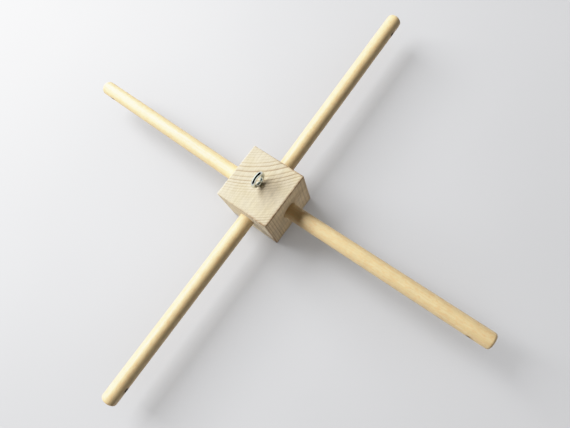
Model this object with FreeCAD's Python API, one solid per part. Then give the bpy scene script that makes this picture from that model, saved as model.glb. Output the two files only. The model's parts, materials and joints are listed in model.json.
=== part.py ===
import FreeCAD, Part
import math
import os

# Cross-arm drop spindle: a softwood cube, four dowels plugged into its sides and a screw eye in its top.
# Millimetres. +Z is up, the origin is the centre of the cube's underside, and the cube's sides face X and Y.

# Hub block: a cube cut from planed softwood, with its end grain facing up
BLOCK = 38.0
BLOCK_EDGE_ROUND = 0.6

# Arms: stock dowel, plugged into blind sockets a little above the middle of the block
ARM_DIAMETER = 10.0
ARM_AXIS_HEIGHT = 21.0
ARM_REACH = 152.4
ARM_TIP_ROUND = 1.8
ARM_INNER_CHAMFER = 0.6
# A small hole runs level through each arm, near its tip
TIP_HOLE_DIAMETER = 2.4
TIP_HOLE_FROM_TIP = 11.4
# Direction of each arm, in degrees from +X towards +Y.
# The sockets were drilled by eye, so they are not quite square.
ARM_BEARINGS = {
    "arm_right": 0.7,
    "arm_back": 91.0,
    "arm_left": 179.5,
    "arm_front": 270.1,
}

# Sockets
SOCKET_DEPTH = 12.0
SOCKET_CLEARANCE = 0.05
SOCKET_END_GAP = 0.3
SOCKET_MOUTH_CHAMFER = 0.3
DRILL_SPUR_RADIUS = 1.0
DRILL_SPUR_LENGTH = 1.2

# Screw eye: one wire, bent into a nearly closed ring in a YZ plane above a wood-screw shank.
# It is driven in until the ring almost touches the wood, a little off the middle of the block.
WIRE_DIAMETER = 2.6
EYE_OUTER_DIAMETER = 11.2
EYE_CENTRE_ABOVE_BLOCK = 5.9
EYE_X = -0.35
EYE_Y = 0.65
NECK_BEND_RADIUS = 1.5
EYE_END_ANGLE = 16.0
SHANK_DEPTH = 11.0
SHANK_PLAIN_DEPTH = 1.5
THREAD_PITCH = 1.1
THREAD_ROOT_DIAMETER = 1.8
THREAD_RIDGE_SHARE = 0.72  # width of the ridge at its foot, as a share of the pitch
THREAD_CREST_FLAT = 0.1
SHANK_POINT_LENGTH = 2.4
SHANK_POINT_RADIUS = 0.05
PILOT_CLEARANCE = 0.03
PILOT_POINT_EXTRA = 0.3

# Helpers of the modelling itself
OVERCUT = 1.0  # how far a cutter runs past the face that it opens
OVERLAP = 0.15  # how far two shapes reach into each other before they are fused
NEAR = 0.01  # a point this close to a place counts as being there

UP = FreeCAD.Vector(0, 0, 1)


def vec(x, y, z):
    return FreeCAD.Vector(x, y, z)


def rim_at(shape, x):
    """The edges of a shape that lie at this distance along X."""
    return [e for e in shape.Edges if all(abs(v.Point.x - x) < NEAR for v in e.Vertexes)]


def arm_cylinder(radius, start, end):
    """Cylinder along +X at arm height, from start to end."""
    return Part.makeCylinder(radius, end - start, vec(start, 0, ARM_AXIS_HEIGHT), vec(1, 0, 0))


def turned_to(shape, degrees):
    """Turn a shape drawn along +X about the block's vertical axis."""
    turned = shape.copy()
    turned.rotate(vec(0, 0, 0), UP, degrees)
    return turned


def tip_hole_cutter():
    """Space of the hole that runs level across an arm near its tip."""
    half_length = ARM_DIAMETER / 2 + OVERCUT
    start = vec(ARM_REACH - TIP_HOLE_FROM_TIP, -half_length, ARM_AXIS_HEIGHT)
    return Part.makeCylinder(TIP_HOLE_DIAMETER / 2, 2 * half_length, start, vec(0, 1, 0))


def make_arm(degrees):
    """One dowel: its tip worn round, its inner end chamfered to start into its socket, and its tip hole."""
    inner_end = BLOCK / 2 - SOCKET_DEPTH
    dowel = arm_cylinder(ARM_DIAMETER / 2, inner_end, ARM_REACH)
    dowel = dowel.makeFillet(ARM_TIP_ROUND, rim_at(dowel, ARM_REACH))
    dowel = dowel.makeChamfer(ARM_INNER_CHAMFER, rim_at(dowel, inner_end))
    drilled = dowel.cut(tip_hole_cutter())
    return turned_to(drilled.Solids[0], degrees)


def socket_cutter(degrees):
    """Space of one socket: a flat-bottomed bore with the drill's spur mark and a softened mouth."""
    radius = ARM_DIAMETER / 2 + SOCKET_CLEARANCE
    face = BLOCK / 2
    bottom = face - SOCKET_DEPTH - SOCKET_END_GAP
    bore = arm_cylinder(radius, bottom, face + OVERCUT)
    spur_base = vec(bottom, 0, ARM_AXIS_HEIGHT)
    spur = Part.makeCone(DRILL_SPUR_RADIUS, 0, DRILL_SPUR_LENGTH, spur_base, vec(-1, 0, 0))
    mouth_start = face - SOCKET_MOUTH_CHAMFER
    mouth = Part.makeCone(
        radius, radius + 2 * SOCKET_MOUTH_CHAMFER, 2 * SOCKET_MOUTH_CHAMFER,
        vec(mouth_start, 0, ARM_AXIS_HEIGHT), vec(1, 0, 0),
    )
    return turned_to(bore.fuse([spur, mouth]), degrees)


def moved_to_eye(shape):
    """Move a shape drawn about the Z axis to the screw eye's place."""
    moved = shape.copy()
    moved.translate(vec(EYE_X, EYE_Y, 0))
    return moved


def pilot_cutter():
    """Space of the screw in the top of the block, out to the thread's crests."""
    radius = WIRE_DIAMETER / 2 + PILOT_CLEARANCE
    straight = SHANK_DEPTH - SHANK_POINT_LENGTH
    bore = Part.makeCylinder(radius, straight + OVERCUT, vec(0, 0, BLOCK - straight))
    point_length = SHANK_POINT_LENGTH + PILOT_POINT_EXTRA
    point = Part.makeCone(radius, 0, point_length, vec(0, 0, BLOCK - straight), vec(0, 0, -1))
    return moved_to_eye(bore.fuse(point))


def make_hub_block():
    """The cube, its edges eased, with four sockets and the screw's hole."""
    half = BLOCK / 2
    cube = Part.makeBox(BLOCK, BLOCK, BLOCK, vec(-half, -half, 0))
    cube = cube.makeFillet(BLOCK_EDGE_ROUND, cube.Edges)
    cutters = [socket_cutter(degrees) for degrees in ARM_BEARINGS.values()]
    return cube.cut(cutters + [pilot_cutter()]).Solids[0]


def eye_wire_path():
    """Centreline of the eye: up the shank, a small bend to the front, then once round the ring."""
    ring_radius = (EYE_OUTER_DIAMETER - WIRE_DIAMETER) / 2
    ring_z = BLOCK + EYE_CENTRE_ABOVE_BLOCK
    bend_to_ring = ring_radius + NECK_BEND_RADIUS
    bend_z = ring_z - math.sqrt(bend_to_ring ** 2 - NECK_BEND_RADIUS ** 2)
    ring_start = math.atan2(NECK_BEND_RADIUS, ring_z - bend_z)
    ring_end = math.radians(360.0 - EYE_END_ANGLE)

    def on_ring(angle):
        return vec(0, -ring_radius * math.sin(angle), ring_z - ring_radius * math.cos(angle))

    def on_bend(angle):
        return vec(0, NECK_BEND_RADIUS * (math.cos(angle) - 1), bend_z + NECK_BEND_RADIUS * math.sin(angle))

    shank_low = vec(0, 0, BLOCK - SHANK_PLAIN_DEPTH)
    bend_sweep = math.pi / 2 - ring_start
    shank = Part.LineSegment(shank_low, on_bend(0)).toShape()
    bend = Part.Arc(on_bend(0), on_bend(bend_sweep / 2), on_bend(bend_sweep)).toShape()
    ring = Part.Arc(on_ring(ring_start), on_ring((ring_start + ring_end) / 2), on_ring(ring_end)).toShape()
    return Part.Wire([shank, bend, ring])


def swept_round(path, radius, start, direction):
    """Solid round bar along a path."""
    section = Part.Wire(Part.Circle(start, direction, radius).toShape())
    return path.makePipeShell([section], True, False)


def make_thread():
    """Helical ridge of the wood screw, cut down to a point with the shank."""
    helix = Part.makeHelix(THREAD_PITCH, SHANK_DEPTH - SHANK_PLAIN_DEPTH, THREAD_ROOT_DIAMETER / 2)
    foot = THREAD_ROOT_DIAMETER / 2 - OVERLAP
    crest = WIRE_DIAMETER / 2 + OVERLAP
    half_foot = THREAD_RIDGE_SHARE * THREAD_PITCH / 2
    half_crest = THREAD_CREST_FLAT / 2
    ridge = Part.makePolygon([
        vec(foot, 0, -half_foot),
        vec(crest, 0, -half_crest),
        vec(crest, 0, half_crest),
        vec(foot, 0, half_foot),
        vec(foot, 0, -half_foot),
    ])
    thread = Part.Wire(helix).makePipeShell([ridge], True, True)
    thread.translate(vec(0, 0, BLOCK - SHANK_DEPTH))
    return thread


def screw_envelope(radius):
    """Straight bar with a conical point, as deep as the screw."""
    straight = SHANK_DEPTH - SHANK_POINT_LENGTH
    base = vec(0, 0, BLOCK - straight)
    bar = Part.makeCylinder(radius, straight - SHANK_PLAIN_DEPTH + OVERLAP, base)
    point = Part.makeCone(radius, SHANK_POINT_RADIUS, SHANK_POINT_LENGTH, base, vec(0, 0, -1))
    return bar.fuse(point)


def make_screw_eye():
    """Ring, neck, plain shank and wood-screw thread in one piece."""
    path = eye_wire_path()
    wire = swept_round(path, WIRE_DIAMETER / 2, vec(0, 0, BLOCK - SHANK_PLAIN_DEPTH), UP)
    core = screw_envelope(THREAD_ROOT_DIAMETER / 2)
    thread = make_thread().common(screw_envelope(WIRE_DIAMETER / 2))
    return moved_to_eye(core.fuse(thread).fuse(wire).Solids[0])


def build():
    """Every node's name and its solid."""
    nodes = {"hub_block": make_hub_block(), "screw_eye": make_screw_eye()}
    for name, degrees in ARM_BEARINGS.items():
        nodes[name] = make_arm(degrees)
    return nodes


os.makedirs("parts", exist_ok=True)
for node_name, shape in build().items():
    print(node_name, shape.ShapeType, shape.isValid(), round(shape.Volume, 1))
    shape.exportStep("parts/" + node_name + ".step")
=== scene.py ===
import json
import math

import bpy
from mathutils import Matrix, Vector, noise


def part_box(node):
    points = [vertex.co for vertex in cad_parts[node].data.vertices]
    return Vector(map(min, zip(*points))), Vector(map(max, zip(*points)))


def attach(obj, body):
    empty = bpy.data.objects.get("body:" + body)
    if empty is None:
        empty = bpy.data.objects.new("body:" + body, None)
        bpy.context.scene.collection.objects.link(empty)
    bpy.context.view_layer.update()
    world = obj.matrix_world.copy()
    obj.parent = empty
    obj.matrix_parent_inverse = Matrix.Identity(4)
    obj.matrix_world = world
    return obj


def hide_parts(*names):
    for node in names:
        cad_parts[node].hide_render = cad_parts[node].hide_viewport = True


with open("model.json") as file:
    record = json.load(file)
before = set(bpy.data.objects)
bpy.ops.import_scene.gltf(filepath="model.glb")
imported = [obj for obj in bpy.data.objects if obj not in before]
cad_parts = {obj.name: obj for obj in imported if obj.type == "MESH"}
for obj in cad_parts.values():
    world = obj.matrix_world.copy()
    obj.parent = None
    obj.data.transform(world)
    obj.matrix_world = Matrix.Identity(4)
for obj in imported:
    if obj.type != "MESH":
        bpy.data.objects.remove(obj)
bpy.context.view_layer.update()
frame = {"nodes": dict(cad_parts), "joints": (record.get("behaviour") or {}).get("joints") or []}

# Looks of a cross-arm drop spindle: a softwood block with end grain on top, four birch dowels plugged into
# its sides, and a zinc-plated screw eye. Lengths are in metres in the row frame, unless a name ends in _MM
# or its comment says otherwise.

MM = 0.001

# Sizes read from the frame
BLOCK_LOW, BLOCK_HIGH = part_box("hub_block")
BLOCK = BLOCK_HIGH.x - BLOCK_LOW.x
EYE_LOW, EYE_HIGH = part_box("screw_eye")
WIRE_RADIUS = (EYE_HIGH.x - EYE_LOW.x) / 2
EYE_OUTER_RADIUS = (EYE_HIGH.y - EYE_LOW.y) / 2
EYE_RING_RADIUS = EYE_OUTER_RADIUS - WIRE_RADIUS
EYE_X = (EYE_LOW.x + EYE_HIGH.x) / 2
EYE_Y = (EYE_LOW.y + EYE_HIGH.y) / 2
EYE_CENTRE_Z = EYE_HIGH.z - EYE_OUTER_RADIUS

# Block: its edges are rubbed down unevenly, in wide patches and in narrow ones, and one corner is chipped
BLOCK_EDGE_ROUND = 0.6 * MM
BLOCK_CELL = 0.8 * MM
EDGE_STEPS = 4
EDGE_WEAR_DEPTH = 0.16 * MM
EDGE_WEAR_REACH = 1.5 * MM
RUB_WIDE = 6 * MM
RUB_NARROW = 1.6 * MM
CHIP_SIZE = 2.0 * MM
CHIP_FULL_SHARE = 0.3  # share of the chip's size that has its full depth
CHIP_DEPTH = 0.7 * MM
CHIP_ROUGHNESS_WIDTH = 0.7 * MM
CHIP_DIRECTION = Vector((-1, 0.6, -1)).normalized()

# Sockets and the screw's hole
SOCKET_CLEARANCE = 0.1 * MM
SOCKET_END_GAP = 0.3 * MM
MOUTH_DEPTH = 0.5 * MM
MOUTH_FLARE = 0.45 * MM
MOUTH_TEAR = 0.12 * MM
MOUTH_TEAR_WIDTH = 1.5 * MM
PILOT_CLEARANCE = 0.03 * MM
PILOT_LIP_DEPTH = 0.25 * MM
PILOT_LIP_FLARE = 0.2 * MM
OVERCUT = 1.0 * MM

# Arms
ARM_SEGMENTS = 72
ARM_STEP = 3.0 * MM
ARM_TIP_ROUND = 1.8 * MM
ARM_TIP_STEPS = 12
ARM_TIP_FLAT_RINGS = (0.7, 0.35, 0.08)  # as shares of the flat's radius
ARM_INNER_CHAMFER = 0.6 * MM
ARM_UNEVENNESS = 0.04 * MM
ARM_UNEVENNESS_WIDTH = 4 * MM
ARM_UNEVENNESS_SQUEEZE = 0.3  # below 1, the bumps are longer along the dowel than across it
ARM_TIP_GRIME = 0.05
TIP_HOLE_RADIUS = 1.2 * MM
TIP_HOLE_FROM_TIP = 11.4 * MM
TIP_HOLE_FLARE = 0.35 * MM
TIP_HOLE_SEGMENTS = 40
DRILL_ROUGHNESS = 0.06 * MM

# Screw eye
WIRE_SEGMENTS = 48
WIRE_STEP = 0.25 * MM
NECK_BEND_RADIUS = 1.5 * MM
EYE_END_ANGLE = math.radians(16.0)
EYE_END_ROUND = 0.2 * MM
EYE_END_STEPS = 5
SHANK_PLAIN_DEPTH = 1.5 * MM
THREAD_PITCH = 1.1 * MM
THREAD_ROOT_RADIUS = 0.9 * MM
THREAD_STEPS_PER_TURN = 12
# The thread's ridge, as shares of its pitch from its middle: half of its flat crest, and half of its foot
THREAD_HALF_CREST = 0.05
THREAD_HALF_FOOT = 0.36
SHANK_POINT_LENGTH = 2.4 * MM
SHANK_POINT_RADIUS = 0.05 * MM

# Where each arm's dowel was cut from its log: how far from the pith, and how it is turned about its own axis
ARM_PITH_DISTANCE_MM = {"arm_right": 31.0, "arm_back": 44.0, "arm_left": 37.0, "arm_front": 52.0}
ARM_TURN_DEGREES = {"arm_right": 200.0, "arm_back": 75.0, "arm_left": 310.0, "arm_front": 140.0}
ARM_LOG_SPREAD = 10  # how much further along the log an arm was cut, for each mm further from the pith

# Pith of the tree that the block was cut from, seen from above, from the block's middle
BLOCK_PITH_MM = (-48.0, 66.0)

# Growth rings of the block, by distance from the pith: even ones, with a run of wide ones between
RING_START_MM = 68.06
RING_WIDTH_MM = 1.57
WIDE_RINGS_RADIUS_MM = 73.5
WIDE_RINGS_SPREAD_MM = 3.3
RINGS_MISSED = 4.74
RING_WANDER_MM = 0.9
RING_RIPPLE_MM = 0.35
# Darkness across one ring, from its pale spring wood to its dark late wood
LATE_WOOD = ((0.0, 0.75), (0.04, 0.02), (0.35, 0.04), (0.66, 0.13), (0.88, 0.70), (1.0, 1.0))
# Some rings show more than others: strength across this stretch
RING_ZONES_REACH_MM = (55.0, 115.0)
RING_ZONES = (
    (0.0, 0.5), (0.17, 0.3), (0.21, 0.9), (0.27, 1.0), (0.46, 0.75),
    (0.53, 0.22), (0.75, 0.22), (0.8, 1.0), (1.0, 0.9),
)

# Growth rings of the birch
BIRCH_RING_WIDTH_MM = 2.3
BIRCH_RING_DRIFT_MM = 3.0
BIRCH_LATE_WOOD = ((0.0, 0.4), (0.06, 0.05), (0.5, 0.15), (0.9, 0.6), (1.0, 1.0))

# Edges sharper than this are not smoothed over
SHARP_ANGLE = math.radians(32.0)


def wobble(point, feature, seed=0.0):
    """Smooth noise from -1 to 1 whose features have this size."""
    return noise.noise(Vector(point) / feature + Vector((seed, seed * 1.7, -seed)))


def smoothstep(low, high, value):
    """0 below low, 1 above high, and a smooth rise between."""
    share = min(1.0, max(0.0, (value - low) / (high - low)))
    return share * share * (3 - 2 * share)


# ---- meshes ----


def mesh_object(name, vertices, faces):
    """New object in the scene with this mesh."""
    mesh = bpy.data.meshes.new(name)
    mesh.from_pydata(vertices, [], faces)
    mesh.update()
    made = bpy.data.objects.new(name, mesh)
    bpy.context.scene.collection.objects.link(made)
    return made


def closed_tube(name, rings):
    """Closed mesh through rings of points, each turning to the right about the way that the rings run."""
    count = len(rings[0])
    vertices = [point for ring in rings for point in ring]
    faces = []
    for low in range(0, len(vertices) - count, count):
        for i in range(count):
            j = (i + 1) % count
            faces.append((low + i, low + j, low + count + j, low + count + i))
    faces.append(tuple(reversed(range(count))))
    faces.append(tuple(range(len(vertices) - count, len(vertices))))
    return mesh_object(name, vertices, faces)


def lathe(name, profile, segments, radius_change=None):
    """Turned shape along +X, through a profile of (distance, radius).

    radius_change(x, angle) adds to the radius.
    """
    rings = []
    for x, radius in profile:
        ring = []
        for i in range(segments):
            angle = 2 * math.pi * i / segments
            r = radius + (radius_change(x, angle) if radius_change else 0.0)
            ring.append((x, r * math.cos(angle), r * math.sin(angle)))
        rings.append(ring)
    return closed_tube(name, rings)


def place(piece, matrix):
    """Move a piece's mesh, and leave its object at the origin, as a CAD node's is."""
    piece.data.transform(matrix)
    piece.data.update()


def cut(piece, cutters):
    """Take the cutters' space out of a piece, and delete them."""
    for cutter in cutters:
        boolean = piece.modifiers.new("cut", "BOOLEAN")
        boolean.operation = "DIFFERENCE"
        boolean.solver = "EXACT"
        boolean.object = cutter
    depsgraph = bpy.context.evaluated_depsgraph_get()
    result = bpy.data.meshes.new_from_object(piece.evaluated_get(depsgraph))
    piece.modifiers.clear()
    piece.data = result
    for cutter in cutters:
        bpy.data.objects.remove(cutter)


def store_vector(piece, name, value_at):
    """Keep a vector with each vertex, worked out from its place, for the material to read."""
    mesh = piece.data
    attribute = mesh.attributes.new(name, "FLOAT_VECTOR", "POINT")
    for vertex, item in zip(mesh.vertices, attribute.data):
        item.vector = value_at(vertex.co)


def store_number(piece, name, value_at):
    """Keep a number with each vertex, worked out from its place, for the material to read."""
    mesh = piece.data
    attribute = mesh.attributes.new(name, "FLOAT", "POINT")
    for vertex, item in zip(mesh.vertices, attribute.data):
        item.value = value_at(vertex.co)


def shade(piece, material):
    """Smooth shading except over sharp edges, and one material."""
    mesh = piece.data
    mesh.materials.clear()
    mesh.materials.append(material)
    mesh.polygons.foreach_set("use_smooth", [True] * len(mesh.polygons))
    mesh.set_sharp_from_angle(angle=SHARP_ANGLE)
    mesh.update()


def stand_in(piece, node, body):
    """Let a piece move with a body and be seen in place of a CAD node."""
    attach(piece, body)
    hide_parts(node)


# ---- arms ----


class Arm:
    """One arm's place and size, measured on its CAD node."""

    def __init__(self, joint):
        self.name = joint["child"]
        self.axis = Vector(joint["axis"]).normalized()
        low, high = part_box(self.name)
        self.height = (low.z + high.z) / 2
        self.radius = (high.z - low.z) / 2
        along = [v.co.dot(self.axis) for v in frame["nodes"][self.name].data.vertices]
        self.inner_end = min(along)
        self.reach = max(along)
        across = Vector((0, 0, 1)).cross(self.axis)
        columns = Matrix((self.axis, across, (0, 0, 1))).transposed()
        self.matrix = Matrix.Translation((0, 0, self.height)) @ columns.to_4x4()


def arm_profile(arm):
    """Outline of a dowel: inner chamfer, straight stretch, worn round tip."""
    profile = [
        (arm.inner_end, arm.radius - ARM_INNER_CHAMFER),
        (arm.inner_end + ARM_INNER_CHAMFER, arm.radius),
    ]
    start = arm.inner_end + ARM_INNER_CHAMFER
    round_start = arm.reach - ARM_TIP_ROUND
    steps = round((round_start - start) / ARM_STEP)
    for i in range(1, steps):
        profile.append((start + (round_start - start) * i / steps, arm.radius))
    for i in range(ARM_TIP_STEPS + 1):
        angle = math.pi / 2 * i / ARM_TIP_STEPS
        x = round_start + ARM_TIP_ROUND * math.sin(angle)
        profile.append((x, arm.radius - ARM_TIP_ROUND * (1 - math.cos(angle))))
    flat = arm.radius - ARM_TIP_ROUND
    for share in ARM_TIP_FLAT_RINGS:
        profile.append((arm.reach, flat * share))
    return profile


def tip_hole_cutter(arm):
    """The hole across an arm near its tip, with its rims broken by the drill."""
    outside = arm.radius + OVERCUT
    straight = arm.radius - TIP_HOLE_FLARE
    wide = TIP_HOLE_RADIUS + TIP_HOLE_FLARE + OVERCUT
    profile = [(-outside, wide), (-straight, TIP_HOLE_RADIUS), (straight, TIP_HOLE_RADIUS), (outside, wide)]

    def drilled(x, angle):
        return DRILL_ROUGHNESS * wobble((x, math.cos(angle) * MM, math.sin(angle) * MM), MM)

    cutter = lathe("tip_hole", profile, TIP_HOLE_SEGMENTS, drilled)
    across = Matrix.Rotation(math.pi / 2, 4, "Z")
    place(cutter, Matrix.Translation((arm.reach - TIP_HOLE_FROM_TIP, 0, 0)) @ across)
    return cutter


def log_coordinates(arm):
    """Where a point of the dowel was in its log, in mm: across the log from its pith, then along it."""
    turn = math.radians(ARM_TURN_DEGREES[arm.name])
    pith = ARM_PITH_DISTANCE_MM[arm.name]

    def value_at(point):
        y, z = point.y / MM, point.z / MM
        across = y * math.cos(turn) - z * math.sin(turn) + pith
        sideways = y * math.sin(turn) + z * math.cos(turn)
        return (across, sideways, point.x / MM + ARM_LOG_SPREAD * pith)

    return value_at


def arm_grime_and_shade(arm, point):
    """A little grime on the tip, and painted shade on the rims of the tip hole and inside it."""
    tip = ARM_TIP_GRIME * smoothstep(arm.reach - 2 * ARM_TIP_ROUND, arm.reach, point.x)
    from_hole = math.hypot(point.x - arm.reach + TIP_HOLE_FROM_TIP, point.z)
    hole = 1.0 - smoothstep(TIP_HOLE_RADIUS, TIP_HOLE_RADIUS + 2 * TIP_HOLE_FLARE, from_hole)
    return max(tip, hole)


def make_arm(arm, material):
    """One dowel, made along +X and then put in its place."""
    seed = ARM_PITH_DISTANCE_MM[arm.name]

    def uneven(x, angle):
        along = x * ARM_UNEVENNESS_SQUEEZE
        point = (along, arm.radius * math.cos(angle), arm.radius * math.sin(angle))
        return -ARM_UNEVENNESS * (0.5 + 0.5 * wobble(point, ARM_UNEVENNESS_WIDTH, seed))

    piece = lathe(arm.name + "_dowel", arm_profile(arm), ARM_SEGMENTS, uneven)
    cut(piece, [tip_hole_cutter(arm)])
    store_vector(piece, "log", log_coordinates(arm))
    # darkening for the material: grime on the tip, painted shade in and around the tip hole
    store_number(piece, "grime_and_shade", lambda p: arm_grime_and_shade(arm, p))
    shade(piece, material)
    place(piece, arm.matrix)
    stand_in(piece, arm.name, arm.name)
    return piece


# ---- block ----


def lattice_lines(half):
    """Places of the lattice lines across one side of the block, close together where edges are rounded."""
    core = half - BLOCK_EDGE_ROUND
    turns = [math.pi / 4 * i / EDGE_STEPS for i in range(EDGE_STEPS + 1)]
    edge = [core + BLOCK_EDGE_ROUND * math.tan(turn) for turn in turns]
    cells = round(2 * core / BLOCK_CELL)
    flat = [-core + 2 * core * i / cells for i in range(1, cells)]
    return [-value for value in reversed(edge)] + flat + edge


def rounded(point, half):
    """A point of a cube's surface, moved onto the same cube with rounded edges."""
    core = half - BLOCK_EDGE_ROUND
    nearest = Vector([max(-core, min(core, value)) for value in point])
    return nearest + (point - nearest).normalized() * BLOCK_EDGE_ROUND


def edge_nearness(point, half):
    """1 on the block's edges, falling to 0 at EDGE_WEAR_REACH from them."""
    gaps = sorted(half - abs(value) for value in point)
    return 1.0 - smoothstep(0.0, EDGE_WEAR_REACH, math.hypot(gaps[0], gaps[1]))


def worn(point, half):
    """A point of the rounded cube after years of handling: edges rubbed down unevenly, one corner chipped."""
    inward = Vector([-math.copysign(1.0, v) if half - abs(v) < EDGE_WEAR_REACH else 0.0 for v in point])
    sides_near = sum(1 for value in inward if value)
    if sides_near < 2:
        return point
    rub = 0.5 + 0.35 * wobble(point, RUB_WIDE) + 0.25 * wobble(point, RUB_NARROW, 3.0)
    moved = point + inward.normalized() * EDGE_WEAR_DEPTH * max(0.0, rub) * edge_nearness(point, half)
    top_right_front = Vector((half, -half, half))
    from_corner = (moved - top_right_front).length
    chip = 1.0 - smoothstep(CHIP_FULL_SHARE * CHIP_SIZE, CHIP_SIZE, from_corner)
    rough = 0.75 + 0.4 * wobble(moved, CHIP_ROUGHNESS_WIDTH, 5.0)
    return moved + CHIP_DIRECTION * CHIP_DEPTH * chip * rough


def cube_lattice(half):
    """Vertices and faces of a closed cube lattice, whose faces share their edge vertices."""
    lines = lattice_lines(half)
    last = len(lines) - 1
    index = {}
    vertices = []
    faces = []

    def vertex(key):
        if key not in index:
            index[key] = len(vertices)
            vertices.append(Vector([lines[i] for i in key]))
        return index[key]

    for axis in range(3):
        for end in (0, last):
            for i in range(last):
                for j in range(last):
                    corners = []
                    for a, b in ((i, j), (i + 1, j), (i + 1, j + 1), (i, j + 1)):
                        key = [a, b]
                        key.insert(axis, end)
                        corners.append(vertex(tuple(key)))
                    outward = (end == last) != (axis == 1)
                    faces.append(corners if outward else corners[::-1])
    return vertices, faces


def socket_cutter(arm):
    """Space of one arm's socket: a plain bore whose mouth is torn a little wider."""
    radius = arm.radius + SOCKET_CLEARANCE
    face = BLOCK / 2
    profile = [
        (arm.inner_end - SOCKET_END_GAP, radius),
        (face - MOUTH_DEPTH, radius),
        (face, radius + MOUTH_FLARE),
        (face + OVERCUT, radius + MOUTH_FLARE),
    ]

    def torn(x, angle):
        point = (x, radius * math.cos(angle), radius * math.sin(angle))
        at_mouth = x > face - MOUTH_DEPTH / 2
        return MOUTH_TEAR * wobble(point, MOUTH_TEAR_WIDTH, 7.0) if at_mouth else 0.0

    cutter = lathe("socket", profile, ARM_SEGMENTS, torn)
    place(cutter, arm.matrix)
    return cutter


def pilot_cutter():
    """Space of the screw in the block's top."""
    radius = WIRE_RADIUS + PILOT_CLEARANCE
    depth = BLOCK_HIGH.z - EYE_LOW.z
    profile = [
        (-depth - PILOT_CLEARANCE, SHANK_POINT_RADIUS + PILOT_CLEARANCE),
        (SHANK_POINT_LENGTH - depth, radius),
        (-PILOT_LIP_DEPTH, radius),
        (0.0, radius + PILOT_LIP_FLARE),
        (OVERCUT, radius + PILOT_LIP_FLARE),
    ]
    cutter = lathe("pilot", profile, WIRE_SEGMENTS)
    upright = Matrix.Rotation(-math.pi / 2, 4, "Y")
    place(cutter, Matrix.Translation((EYE_X, EYE_Y, BLOCK_HIGH.z)) @ upright)
    return cutter


def make_block(arms, material):
    """The block: worn rounded cube with its sockets and the screw's hole."""
    half = BLOCK / 2
    vertices, faces = cube_lattice(half)
    middle = Vector((0, 0, half))
    piece = mesh_object("block", [worn(rounded(v, half), half) + middle for v in vertices], faces)
    cut(piece, [socket_cutter(arm) for arm in arms] + [pilot_cutter()])
    pith_x, pith_y = BLOCK_PITH_MM
    store_vector(piece, "log", lambda p: (p.x / MM - pith_x, p.y / MM - pith_y, p.z / MM))
    # painted shade: the edges darken only towards +X, the side away from the window; partly grime on rubbed
    # edges
    store_number(piece, "grime_and_shade", lambda p: edge_nearness(p - middle, half) * smoothstep(-half, half, p.x))
    shade(piece, material)
    stand_in(piece, "hub_block", "hub")
    return piece


# ---- screw eye ----


def thread_radius(height, angle):
    """Radius of the screw's thread at a height above its point, at an angle about its axis."""
    phase = (height / THREAD_PITCH - angle / (2 * math.pi)) % 1.0
    ridge = 1.0 - smoothstep(THREAD_HALF_CREST, THREAD_HALF_FOOT, abs(phase - 0.5))
    body = THREAD_ROOT_RADIUS + (WIRE_RADIUS - THREAD_ROOT_RADIUS) * ridge
    cone = SHANK_POINT_RADIUS + (WIRE_RADIUS - SHANK_POINT_RADIUS) * min(1.0, height / SHANK_POINT_LENGTH)
    return min(body, cone)


def plain_station(centre, direction, radius=WIRE_RADIUS):
    """A round section of the wire: its centre, its direction and its radius at each angle."""
    return (centre, direction, lambda angle: radius)


def thread_stations(thread_top):
    """Sections of the threaded shank, from its point up."""
    turns = (thread_top - EYE_LOW.z) / THREAD_PITCH
    steps = round(turns * THREAD_STEPS_PER_TURN)
    stations = []
    for i in range(steps):
        height = (thread_top - EYE_LOW.z) * i / steps
        centre = Vector((0, 0, EYE_LOW.z + height))
        stations.append((centre, Vector((0, 0, 1)), lambda angle, h=height: thread_radius(h, angle)))
    return stations


def neck_stations(thread_top, bend_z, bend_sweep):
    """Sections of the plain shank, and of the small bend to the front that leads into the ring."""
    stations = []
    steps = round((bend_z - thread_top) / WIRE_STEP)
    for i in range(steps):
        centre = Vector((0, 0, thread_top + (bend_z - thread_top) * i / steps))
        stations.append(plain_station(centre, Vector((0, 0, 1))))
    steps = round(NECK_BEND_RADIUS * bend_sweep / WIRE_STEP)
    for i in range(steps):
        angle = bend_sweep * i / steps
        forward = NECK_BEND_RADIUS * (math.cos(angle) - 1)
        centre = Vector((0, forward, bend_z + NECK_BEND_RADIUS * math.sin(angle)))
        stations.append(plain_station(centre, Vector((0, -math.sin(angle), math.cos(angle)))))
    return stations


def ring_stations(ring_start):
    """Sections once round the ring, to the wire's cut end with its rounded rim."""
    ring_end = 2 * math.pi - EYE_END_ANGLE
    steps = round(EYE_RING_RADIUS * (ring_end - ring_start) / WIRE_STEP)
    rounding = EYE_END_ROUND / EYE_RING_RADIUS
    angles = [ring_start + (ring_end - rounding - ring_start) * i / steps for i in range(steps + 1)]
    radii = [WIRE_RADIUS] * len(angles)
    for i in range(1, EYE_END_STEPS + 1):
        share = math.pi / 2 * i / EYE_END_STEPS
        angles.append(ring_end - rounding * (1 - math.sin(share)))
        radii.append(WIRE_RADIUS - EYE_END_ROUND * (1 - math.cos(share)))
    stations = []
    for angle, radius in zip(angles, radii):
        side, up = math.sin(angle), math.cos(angle)
        centre = Vector((0, -EYE_RING_RADIUS * side, EYE_CENTRE_Z - EYE_RING_RADIUS * up))
        stations.append(plain_station(centre, Vector((0, -up, side)), radius))
    return stations


def wire_stations():
    """(centre, direction, radius at an angle) of each section of the screw eye, from its point to its end."""
    thread_top = BLOCK_HIGH.z - SHANK_PLAIN_DEPTH
    to_ring = EYE_RING_RADIUS + NECK_BEND_RADIUS
    bend_z = EYE_CENTRE_Z - math.sqrt(to_ring ** 2 - NECK_BEND_RADIUS ** 2)
    ring_start = math.atan2(NECK_BEND_RADIUS, EYE_CENTRE_Z - bend_z)
    neck = neck_stations(thread_top, bend_z, math.pi / 2 - ring_start)
    return thread_stations(thread_top) + neck + ring_stations(ring_start)


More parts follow.
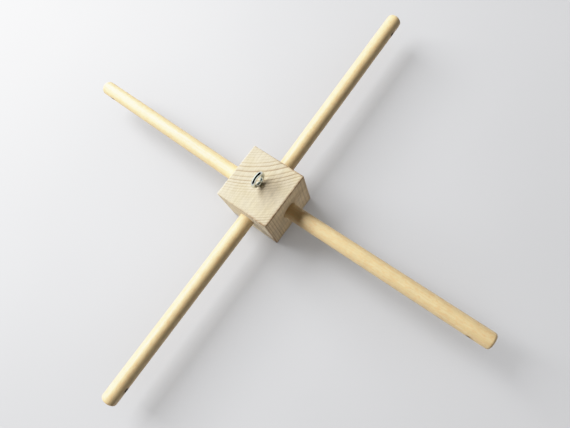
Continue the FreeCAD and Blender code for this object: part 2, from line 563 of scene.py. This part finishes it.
def make_screw_eye(material):
    """Threaded shank, neck and ring as one swept mesh. Its material reads a point's place along the wire."""
    rings = []
    along = []
    travelled = 0.0
    before = None
    side = Vector((1, 0, 0))
    for centre, direction, radius_at in wire_stations():
        if before is not None:
            travelled += (centre - before).length
        before = centre
        front = direction.cross(side)
        ring = []
        for i in range(WIRE_SEGMENTS):
            angle = 2 * math.pi * i / WIRE_SEGMENTS
            radius = radius_at(angle)
            ring.append(centre + radius * (side * math.cos(angle) + front * math.sin(angle)))
            along.append((travelled / MM, radius * math.cos(angle) / MM, radius * math.sin(angle) / MM))
        rings.append(ring)
    piece = closed_tube("screw_eye_wire", rings)
    attribute = piece.data.attributes.new("wire", "FLOAT_VECTOR", "POINT")
    for value, item in zip(along, attribute.data):
        item.vector = value
    place(piece, Matrix.Translation((EYE_X, EYE_Y, 0)))
    shade(piece, material)
    stand_in(piece, "screw_eye", "hub")
    return piece


# ---- materials ----


def set_ramp(ramp, stops):
    """Give a colour ramp straight stretches between stops of (share from 0 to 1, colour)."""
    ramp.interpolation = "LINEAR"
    while len(ramp.elements) < len(stops):
        ramp.elements.new(0.5)
    for element, (share, color) in zip(ramp.elements, stops):
        element.position = share
        element.color = color


class Surface:
    """A material with one Principled shader, and short ways to add the nodes that feed it."""

    def __init__(self, name, specular, metallic=0.0):
        self.material = bpy.data.materials.new(name)
        self.material.use_nodes = True
        self.tree = self.material.node_tree
        self.shader = self.tree.nodes["Principled BSDF"]
        self.shader.inputs["Specular IOR Level"].default_value = specular
        self.shader.inputs["Metallic"].default_value = metallic

    def put(self, value, socket):
        """Feed a socket from another node's output, or set it to a constant."""
        if isinstance(value, bpy.types.NodeSocket):
            self.tree.links.new(value, socket)
        else:
            socket.default_value = value

    def stored(self, name, output="Vector"):
        """A value kept with the mesh's vertices."""
        node = self.tree.nodes.new("ShaderNodeAttribute")
        node.attribute_name = name
        return node.outputs[output]

    def math(self, operation, a, b=0.0):
        """One sum on numbers."""
        node = self.tree.nodes.new("ShaderNodeMath")
        node.operation = operation
        self.put(a, node.inputs[0])
        self.put(b, node.inputs[1])
        return node.outputs[0]

    def vector(self, operation, a, b=(0.0, 0.0, 0.0), output="Vector"):
        """One sum on vectors."""
        node = self.tree.nodes.new("ShaderNodeVectorMath")
        node.operation = operation
        self.put(a, node.inputs[0])
        self.put(b, node.inputs[1])
        return node.outputs[output]

    def scaled(self, vector, per_unit):
        """A vector times a scale for each axis: how many features fit in one unit of it."""
        return self.vector("MULTIPLY", vector, per_unit)

    def parts(self, vector):
        """The three numbers of a vector."""
        node = self.tree.nodes.new("ShaderNodeSeparateXYZ")
        self.put(vector, node.inputs[0])
        return node.outputs

    def join(self, x, y, z):
        """A vector from three numbers."""
        node = self.tree.nodes.new("ShaderNodeCombineXYZ")
        for value, socket in zip((x, y, z), node.inputs):
            self.put(value, socket)
        return node.outputs[0]

    def noise(self, vector, detail=2.0, roughness=0.5):
        """Smooth noise from 0 to 1 at a scale set by the vector."""
        node = self.tree.nodes.new("ShaderNodeTexNoise")
        self.put(vector, node.inputs["Vector"])
        node.inputs["Scale"].default_value = 1.0
        node.inputs["Detail"].default_value = detail
        node.inputs["Roughness"].default_value = roughness
        return node.outputs["Fac"]

    def random(self, value):
        """A random number from 0 to 1 that changes with each whole value."""
        node = self.tree.nodes.new("ShaderNodeTexWhiteNoise")
        node.noise_dimensions = "1D"
        self.put(value, node.inputs["W"])
        return node.outputs["Value"]

    def cells(self, vector):
        """Distance from the nearest of many scattered points."""
        node = self.tree.nodes.new("ShaderNodeTexVoronoi")
        self.put(vector, node.inputs["Vector"])
        node.inputs["Scale"].default_value = 1.0
        return node.outputs["Distance"]

    def remap(self, value, low, high, to_low=0.0, to_high=1.0, smooth=True):
        """Carry the range from low to high over to another range, and hold its ends beyond it."""
        node = self.tree.nodes.new("ShaderNodeMapRange")
        node.interpolation_type = "SMOOTHSTEP" if smooth else "LINEAR"
        self.put(value, node.inputs["Value"])
        self.put(low, node.inputs["From Min"])
        self.put(high, node.inputs["From Max"])
        self.put(to_low, node.inputs["To Min"])
        self.put(to_high, node.inputs["To Max"])
        return node.outputs["Result"]

    def curve(self, value, stops):
        """Curve of straight stretches: stops are (value from 0 to 1, result)."""
        node = self.tree.nodes.new("ShaderNodeValToRGB")
        self.put(value, node.inputs["Fac"])
        set_ramp(node.color_ramp, [(share, (level, level, level, 1.0)) for share, level in stops])
        return node.outputs["Color"]

    def mix(self, share, a, b, blend="MIX"):
        """Colour a, with this share of colour b mixed in."""
        node = self.tree.nodes.new("ShaderNodeMix")
        node.data_type = "RGBA"
        node.blend_type = blend
        sockets = {socket.identifier: socket for socket in node.inputs}
        self.put(share, sockets["Factor_Float"])
        self.put(a, sockets["A_Color"])
        self.put(b, sockets["B_Color"])
        return next(s for s in node.outputs if s.identifier == "Result_Color")

    def tinted(self, color, level):
        """A colour made lighter or darker by a level about 1."""
        return self.mix(1.0, color, level, "MULTIPLY")

    def bump(self, height, distance, strength):
        """Fine relief, as the normals that it gives the surface."""
        node = self.tree.nodes.new("ShaderNodeBump")
        node.inputs["Strength"].default_value = strength
        node.inputs["Distance"].default_value = distance
        self.put(height, node.inputs["Height"])
        return node.outputs["Normal"]

    def finish(self, color, roughness, normal=None):
        """Feed the shader, and give back the finished material."""
        self.put(color, self.shader.inputs["Base Color"])
        self.put(roughness, self.shader.inputs["Roughness"])
        if normal is not None:
            self.put(normal, self.shader.inputs["Normal"])
        return self.material


# Colours: spring and late wood, a warmer tint and the darkened edges of the softwood (grime, with painted
# shade), then birch, then zinc
SOFTWOOD_EARLY = (0.700, 0.590, 0.410, 1.0)
SOFTWOOD_LATE = (0.240, 0.140, 0.060, 1.0)
SOFTWOOD_WARM = (0.670, 0.555, 0.360, 1.0)
SOFTWOOD_EDGE_GRIME_AND_SHADE = (0.260, 0.130, 0.050, 1.0)
BIRCH_LIGHT = (0.815, 0.625, 0.345, 1.0)
BIRCH_DARK = (0.750, 0.550, 0.275, 1.0)
BIRCH_ORANGE = (0.760, 0.500, 0.240, 1.0)
BIRCH_FLECK = (0.430, 0.265, 0.125, 1.0)
# darkening of the birch: grime on its tips, painted shade in its tip holes
BIRCH_GRIME_AND_SHADE = (0.130, 0.075, 0.035, 1.0)
ZINC = (0.810, 0.870, 0.850, 1.0)
ZINC_DULL = (0.630, 0.680, 0.660, 1.0)

# The woods' features, as how many fit in a millimetre: twice across the log, then along it
ACROSS_THE_LOG = (1.0, 1.0, 0.0)
RING_WANDER_PER_MM = (0.07, 0.07, 0.012)
RING_FADE_PER_MM = (0.05, 0.05, 0.01)
PINE_FINE_PER_MM = (0.5, 0.5, 0.05)
PINE_FIBRE_PER_MM = (3.2, 3.2, 0.10)
PINE_SPECKLE_PER_MM = (7.0, 7.0, 0.5)
PINE_CLOUD_PER_MM = (0.11, 0.11, 0.03)
SAW_MARKS_PER_MM = (1.5, 0.12, 0.3)
BIRCH_DRIFT_PER_MM = (0.15, 0.15, 0.008)
BIRCH_STREAK_PER_MM = (1.1, 1.1, 0.02)
BIRCH_FIBRE_PER_MM = (6.0, 6.0, 0.22)
BIRCH_CURL_PER_MM = (0.12, 0.12, 0.22)
BIRCH_PORES_PER_MM = (3.4, 3.4, 0.42)
BIRCH_PORE_PATCH_PER_MM = (0.5, 0.5, 0.09)
BIRCH_MOTTLE_PER_MM = (0.9, 0.9, 0.35)

# The softwood's rays: how many to a radian about the pith, then to a millimetre out from it and along it
RAYS_PER_RADIAN = 160.0
RAYS_PER_MM_OUTWARD = 0.12
RAYS_PER_MM_ALONG = 0.4

# The plated wire's features, as how many fit in a millimetre: along the wire, then twice across it
ZINC_PATCH_PER_MM = (0.55, 1.0, 1.0)
ZINC_LINES_PER_MM = (0.6, 9.0, 9.0)
ZINC_PITS_PER_MM = (4.0, 4.0, 4.0)


def growth_rings(s, log, fine):
    """How dark the growth rings make each place, and how far it is from the pith in mm."""
    slow = s.noise(s.scaled(log, RING_WANDER_PER_MM), detail=1.0)
    from_pith = s.vector("LENGTH", s.scaled(log, ACROSS_THE_LOG), output="Value")
    # the rings wander a little, and less along the log than across it
    wander = s.math("MULTIPLY", s.math("SUBTRACT", slow, 0.5), RING_WANDER_MM)
    ripple = s.math("MULTIPLY", s.math("SUBTRACT", fine, 0.5), RING_RIPPLE_MM)
    radius = s.math("ADD", from_pith, s.math("ADD", wander, ripple))
    # ring number: even rings, apart from a run of wide ones
    past_run = s.math("DIVIDE", s.math("SUBTRACT", WIDE_RINGS_RADIUS_MM, radius), WIDE_RINGS_SPREAD_MM)
    missed = s.math("DIVIDE", RINGS_MISSED, s.math("ADD", 1.0, s.math("EXPONENT", past_run)))
    even = s.math("DIVIDE", s.math("SUBTRACT", radius, RING_START_MM), RING_WIDTH_MM)
    ring = s.math("SUBTRACT", even, missed)
    late = s.curve(s.math("FRACT", ring), LATE_WOOD)
    zone = s.curve(s.remap(radius, *RING_ZONES_REACH_MM, smooth=False), RING_ZONES)
    # each ring has its own strength, which fades in places
    own = s.remap(s.random(s.math("FLOOR", ring)), 0.0, 1.0, 0.75, 1.2, smooth=False)
    fade = s.noise(s.scaled(log, RING_FADE_PER_MM), detail=1.0)
    strength = s.math("MULTIPLY", s.math("MULTIPLY", zone, own), s.remap(fade, 0.3, 0.7, 0.65, 1.0))
    return s.math("MULTIPLY", late, strength), from_pith


def softwood_material():
    """Planed pine: growth rings with a hard outer edge, arcs on top and long grain on the sides."""
    s = Surface("bare_softwood", specular=0.35)
    log = s.stored("log")
    x, y, z = s.parts(log)
    fine = s.noise(s.scaled(log, PINE_FINE_PER_MM), detail=2.0)
    grain, from_pith = growth_rings(s, log, fine)
    # fibres run along the log: streaks on the sides, fine speckle on the end grain
    fibre = s.noise(s.scaled(log, PINE_FIBRE_PER_MM), detail=3.0, roughness=0.6)
    speckle = s.noise(s.scaled(log, PINE_SPECKLE_PER_MM), detail=2.0, roughness=0.7)
    # rays run out from the pith
    turn = s.math("MULTIPLY", s.math("ARCTAN2", y, x), RAYS_PER_RADIAN)
    outward = s.math("MULTIPLY", from_pith, RAYS_PER_MM_OUTWARD)
    rays = s.noise(s.join(turn, outward, s.math("MULTIPLY", z, RAYS_PER_MM_ALONG)), detail=1.0)
    cloud = s.noise(s.scaled(log, PINE_CLOUD_PER_MM), detail=3.0)
    # marks of the saw that cut the block to length
    saw = s.noise(s.scaled(log, SAW_MARKS_PER_MM), detail=2.0, roughness=0.6)
    color = s.mix(s.remap(cloud, 0.35, 0.7), SOFTWOOD_EARLY, SOFTWOOD_WARM)
    color = s.mix(grain, color, SOFTWOOD_LATE)
    color = s.tinted(color, s.remap(fibre, 0.25, 0.75, 0.90, 1.06))
    color = s.tinted(color, s.remap(speckle, 0.2, 0.8, 0.92, 1.06))
    color = s.tinted(color, s.remap(rays, 0.3, 0.7, 0.98, 1.02))
    color = s.tinted(color, s.remap(saw, 0.38, 0.62, 0.91, 1.05))
    # darkened edges: grime, and painted shade on the side away from the window
    grime_and_shade = s.math("MULTIPLY", s.stored("grime_and_shade", "Fac"), s.remap(fine, 0.3, 0.65, 0.4, 0.95))
    color = s.mix(grime_and_shade, color, SOFTWOOD_EDGE_GRIME_AND_SHADE)
    pores = s.math("ADD", fibre, s.math("MULTIPLY", speckle, 0.7))
    normal = s.bump(s.math("ADD", s.math("MULTIPLY", grain, 0.6), pores), 0.06 * MM, 0.8)
    roughness = s.remap(grain, 0.0, 1.0, 0.68, 0.52, smooth=False)
    return s.finish(color, roughness, normal)


def birch_material():
    """Birch dowel: faint growth rings, short dark pores and flecks along the grain, milled smooth."""
    s = Surface("bare_birch", specular=0.5)
    log = s.stored("log")
    drift = s.noise(s.scaled(log, BIRCH_DRIFT_PER_MM), detail=2.0)
    from_pith = s.vector("LENGTH", s.scaled(log, ACROSS_THE_LOG), output="Value")
    radius = s.math("ADD", from_pith, s.math("MULTIPLY", drift, BIRCH_RING_DRIFT_MM))
    late = s.curve(s.math("FRACT", s.math("DIVIDE", radius, BIRCH_RING_WIDTH_MM)), BIRCH_LATE_WOOD)
    streak = s.noise(s.scaled(log, BIRCH_STREAK_PER_MM), detail=3.0, roughness=0.55)
    fibre = s.noise(s.scaled(log, BIRCH_FIBRE_PER_MM), detail=2.0, roughness=0.6)
    curl = s.noise(s.scaled(log, BIRCH_CURL_PER_MM), detail=1.0)
    mottle = s.noise(s.scaled(log, BIRCH_MOTTLE_PER_MM), detail=3.0, roughness=0.65)
    # pores show as flecks, in some patches only
    pores = s.remap(s.cells(s.scaled(log, BIRCH_PORES_PER_MM)), 0.10, 0.24, 1.0, 0.0)
    patches = s.noise(s.scaled(log, BIRCH_PORE_PATCH_PER_MM), detail=1.0)
    flecks = s.math("MULTIPLY", pores, s.remap(patches, 0.45, 0.6))
    color = s.mix(s.remap(streak, 0.3, 0.72), BIRCH_LIGHT, BIRCH_DARK)
    color = s.mix(s.math("MULTIPLY", late, 0.35), color, BIRCH_DARK)
    color = s.tinted(color, s.remap(fibre, 0.25, 0.75, 0.94, 1.04))
    color = s.mix(s.remap(mottle, 0.46, 0.64, 0.0, 0.8), color, BIRCH_ORANGE)
    color = s.tinted(color, s.remap(curl, 0.3, 0.7, 0.97, 1.03))
    color = s.mix(s.math("MULTIPLY", flecks, 0.55), color, BIRCH_FLECK)
    # grime on the tip, painted shade in and around the tip hole
    color = s.mix(s.math("MULTIPLY", s.stored("grime_and_shade", "Fac"), 0.85), color, BIRCH_GRIME_AND_SHADE)
    relief = s.math("SUBTRACT", s.math("ADD", fibre, s.math("MULTIPLY", late, 0.3)), flecks)
    normal = s.bump(relief, 0.03 * MM, 0.7)
    roughness = s.remap(streak, 0.3, 0.7, 0.40, 0.54)
    return s.finish(color, roughness, normal)


def zinc_material():
    """Bright zinc plate on drawn wire: fine lines along the wire, and duller patches."""
    s = Surface("bright_zinc", specular=0.5, metallic=1.0)
    wire = s.stored("wire")
    patch = s.noise(s.scaled(wire, ZINC_PATCH_PER_MM), detail=3.0, roughness=0.6)
    lines = s.noise(s.scaled(wire, ZINC_LINES_PER_MM), detail=2.0)
    pits = s.noise(s.scaled(wire, ZINC_PITS_PER_MM), detail=3.0, roughness=0.65)
    dull = s.remap(patch, 0.42, 0.72)
    color = s.mix(s.math("MULTIPLY", dull, 0.7), ZINC, ZINC_DULL)
    roughness = s.math("ADD", s.remap(dull, 0.0, 1.0, 0.06, 0.18), s.remap(pits, 0.4, 0.75, 0.0, 0.08))
    relief = s.math("ADD", s.math("MULTIPLY", lines, 0.35), s.math("MULTIPLY", pits, 0.65))
    normal = s.bump(relief, 0.006 * MM, 0.5)
    return s.finish(color, roughness, normal)


# ---- stage, light and camera ----

FLOOR_SIZE = 6.0
FLOOR_COLOR = (0.415, 0.417, 0.427, 1.0)
FLOOR_ROUGHNESS = 0.75
FLOOR_TONES_PER_METRE = (5.0, 5.0, 5.0)
BACKDROP_COLOR = (0.540, 0.543, 0.555, 1.0)
ROOM_COLOR = (1.0, 0.72, 0.36, 1.0)
ROOM_STRENGTH = 0.025
WALL_COLOR = (0.98, 0.98, 0.88)
# Brightness of the walls that reflections show, by direction along X
STUDIO_WALLS = ((-0.62, 1.25), (-0.50, 0.004), (0.80, 0.004), (0.91, 1.0))

# Area lights: bearing from +X towards +Y, elevation, distance, width, height, power, colour.
# The window stands higher for the arms that the block throws no shadow on.
WINDOW = (186.0, 37.0, 0.95, 1.35, 0.46, 28.0, (0.945, 0.975, 1.02))
SIDE_WINDOW = (186.0, 48.0, 0.95, 1.35, 0.58, 26.5, (0.955, 0.978, 1.02))
CEILING = (120.0, 70.0, 2.2, 2.4, 2.4, 3.5, (1.0, 0.97, 0.90))
BLOCK_FILL = (12.0, 8.0, 1.5, 1.0, 0.5, 3.2, (1.0, 0.79, 0.57))
END_FILL = (0.0, 6.0, 1.5, 0.6, 0.4, 3.4, (1.0, 0.90, 0.74))
FLOOR_WINDOW = (180.0, 38.0, 0.95, 0.70, 0.70, 17.5, (0.975, 0.985, 1.0))

# Even light from overhead, for the floor alone
SKY_STRENGTH = 2.5
SKY_SPREAD = math.radians(140.0)

# The picture's response to light: straight in the shadows, rolling off towards white
TONE_WHITE = 1.0
TONE_SHOULDER = 5.0
TONE_RANGE = 3.0
TONE_STEPS = 16
TONE_STEP_CROWDING = 1.5  # above 1, the curve's points crowd towards the shadows

# Camera: where it stands about its target, how it is turned about its line of sight, and its lens in mm
CAMERA_AZIMUTH = math.radians(63.3)
CAMERA_ELEVATION = math.radians(69.9)
CAMERA_DISTANCE = 0.2626
CAMERA_ROLL = math.radians(-27.9)
CAMERA_TARGET = Vector((0.0180, -0.0033, 0.0210))
LENS = 26.8
SENSOR_WIDTH = 36.0
NEAREST_SEEN = 10.0 * MM


def spherical(azimuth, elevation):
    """Unit vector from the object towards an azimuth (0 is the front, -Y, and 90 is +X) and elevation."""
    level = math.cos(elevation)
    return Vector((math.sin(azimuth) * level, -math.cos(azimuth) * level, math.sin(elevation)))


def make_floor():
    """The plain pale sheet that the spindle lies on."""
    half = FLOOR_SIZE / 2
    corners = [(-half, -half, 0), (half, -half, 0), (half, half, 0), (-half, half, 0)]
    floor = mesh_object("floor", corners, [(0, 1, 2, 3)])
    s = Surface("pale_paper", specular=0.3)
    place_on_floor = s.tree.nodes.new("ShaderNodeTexCoord").outputs["Object"]
    tone = s.noise(s.scaled(place_on_floor, FLOOR_TONES_PER_METRE), detail=2.0)
    color = s.tinted(FLOOR_COLOR, s.remap(tone, 0.3, 0.7, 0.98, 1.02))
    floor.data.materials.append(s.finish(color, FLOOR_ROUGHNESS))
    return floor


def studio_seen_in_reflections(tree, direction):
    """Bright on the window's side, dark overhead, pale on the far side: what polished metal shows."""
    split = tree.nodes.new("ShaderNodeSeparateXYZ")
    across = tree.nodes.new("ShaderNodeMapRange")
    across.inputs["From Min"].default_value = -1.0
    across.inputs["From Max"].default_value = 1.0
    walls = tree.nodes.new("ShaderNodeValToRGB")
    stops = []
    for x, brightness in STUDIO_WALLS:
        stops.append(((x + 1) / 2, [channel * brightness for channel in WALL_COLOR] + [1.0]))
    set_ramp(walls.color_ramp, stops)
    studio = tree.nodes.new("ShaderNodeBackground")
    tree.links.new(direction, split.inputs[0])
    tree.links.new(split.outputs["X"], across.inputs["Value"])
    tree.links.new(across.outputs["Result"], walls.inputs["Fac"])
    tree.links.new(walls.outputs["Color"], studio.inputs["Color"])
    return studio.outputs[0]


def make_world():
    """Dim warm room light, pale walls in reflections, and a plain backdrop past the floor's edge."""
    world = bpy.data.worlds.new("room")
    bpy.context.scene.world = world
    world.use_nodes = True
    tree = world.node_tree
    tree.nodes.clear()
    direction = tree.nodes.new("ShaderNodeTexCoord").outputs["Generated"]
    room = tree.nodes.new("ShaderNodeBackground")
    room.inputs["Color"].default_value = ROOM_COLOR
    room.inputs["Strength"].default_value = ROOM_STRENGTH
    backdrop = tree.nodes.new("ShaderNodeBackground")
    backdrop.inputs["Color"].default_value = BACKDROP_COLOR
    rays = tree.nodes.new("ShaderNodeLightPath")
    lit = tree.nodes.new("ShaderNodeMixShader")
    seen = tree.nodes.new("ShaderNodeMixShader")
    output = tree.nodes.new("ShaderNodeOutputWorld")
    tree.links.new(rays.outputs["Is Glossy Ray"], lit.inputs[0])
    tree.links.new(room.outputs[0], lit.inputs[1])
    tree.links.new(studio_seen_in_reflections(tree, direction), lit.inputs[2])
    tree.links.new(rays.outputs["Is Camera Ray"], seen.inputs[0])
    tree.links.new(lit.outputs[0], seen.inputs[1])
    tree.links.new(backdrop.outputs[0], seen.inputs[2])
    tree.links.new(seen.outputs[0], output.inputs[0])


def make_light(name, bearing, elevation, distance, width, height, power, color):
    """A rectangular soft light, aimed at the middle of the block."""
    light = bpy.data.lights.new(name, "AREA")
    light.shape = "RECTANGLE"
    light.size = width
    light.size_y = height
    light.energy = power
    light.color = color
    lamp = bpy.data.objects.new(name, light)
    bpy.context.scene.collection.objects.link(lamp)
    bearing = math.radians(bearing)
    elevation = math.radians(elevation)
    level = math.cos(elevation)
    towards = Vector((math.cos(bearing) * level, math.sin(bearing) * level, math.sin(elevation)))
    lamp.location = Vector((0, 0, BLOCK / 2)) + towards * distance
    lamp.rotation_mode = "QUATERNION"
    lamp.rotation_quaternion = (-towards).to_track_quat("-Z", "Y")
    return lamp


def make_sky():
    """Even light from all over the ceiling, as strong far away as near the spindle."""
    light = bpy.data.lights.new("sky", "SUN")
    light.energy = SKY_STRENGTH
    light.angle = SKY_SPREAD
    lamp = bpy.data.objects.new("sky", light)
    bpy.context.scene.collection.objects.link(lamp)
    return lamp


def light_only(lamp, objects):
    """Let a light reach only these objects."""
    receivers = bpy.data.collections.new(lamp.name + "_receivers")
    for item in objects:
        receivers.objects.link(item)
    lamp.light_linking.receiver_collection = receivers


def set_tone():
    """Give the picture its response to light."""
    settings = bpy.context.scene.view_settings
    settings.view_transform = "Standard"
    settings.use_curve_mapping = True
    mapping = settings.curve_mapping
    mapping.white_level = (TONE_RANGE, TONE_RANGE, TONE_RANGE)
    curve = mapping.curves[3]
    for i in range(1, TONE_STEPS):
        light = TONE_RANGE * (i / TONE_STEPS) ** TONE_STEP_CROWDING
        shown = light / (1 + (light / TONE_WHITE) ** TONE_SHOULDER) ** (1 / TONE_SHOULDER)
        curve.points.new(light / TONE_RANGE, min(1.0, shown))
    mapping.update()


def make_camera():
    """Camera above the right front corner, turned so that the arms run across the frame's diagonals."""
    data = bpy.data.cameras.new("camera")
    data.lens = LENS
    data.sensor_width = SENSOR_WIDTH
    data.clip_start = NEAREST_SEEN
    camera = bpy.data.objects.new("camera", data)
    bpy.context.scene.collection.objects.link(camera)
    back = spherical(CAMERA_AZIMUTH, CAMERA_ELEVATION)
    camera.location = CAMERA_TARGET + back * CAMERA_DISTANCE
    level_right = (-back).cross(Vector((0, 0, 1))).normalized()
    level_up = level_right.cross(-back)
    right = level_right * math.cos(CAMERA_ROLL) + level_up * math.sin(CAMERA_ROLL)
    up = level_up * math.cos(CAMERA_ROLL) - level_right * math.sin(CAMERA_ROLL)
    camera.rotation_mode = "QUATERNION"
    camera.rotation_quaternion = Matrix((right, up, back)).transposed().to_quaternion()
    bpy.context.scene.camera = camera


def main():
    """Make the pieces, then the stage that they are seen on."""
    arms = [Arm(joint) for joint in frame["joints"]]
    birch = birch_material()
    dowels = {arm.name: make_arm(arm, birch) for arm in arms}
    block = make_block(arms, softwood_material())
    make_screw_eye(zinc_material())
    floor = make_floor()
    make_world()
    right, back, left, front = [dowels["arm_" + side] for side in ("right", "back", "left", "front")]
    # the screw eye shows the studio's walls alone, since the lights would burn out in it
    light_only(make_light("window", *WINDOW), [block, right])
    light_only(make_light("side_window", *SIDE_WINDOW), [back, left, front])
    light_only(make_light("ceiling", *CEILING), [block, right, left, floor])
    light_only(make_light("block_fill", *BLOCK_FILL), [block])
    light_only(make_light("end_fill", *END_FILL), [right])
    light_only(make_light("floor_window", *FLOOR_WINDOW), [floor])
    light_only(make_sky(), [floor])
    make_camera()
    set_tone()


main()
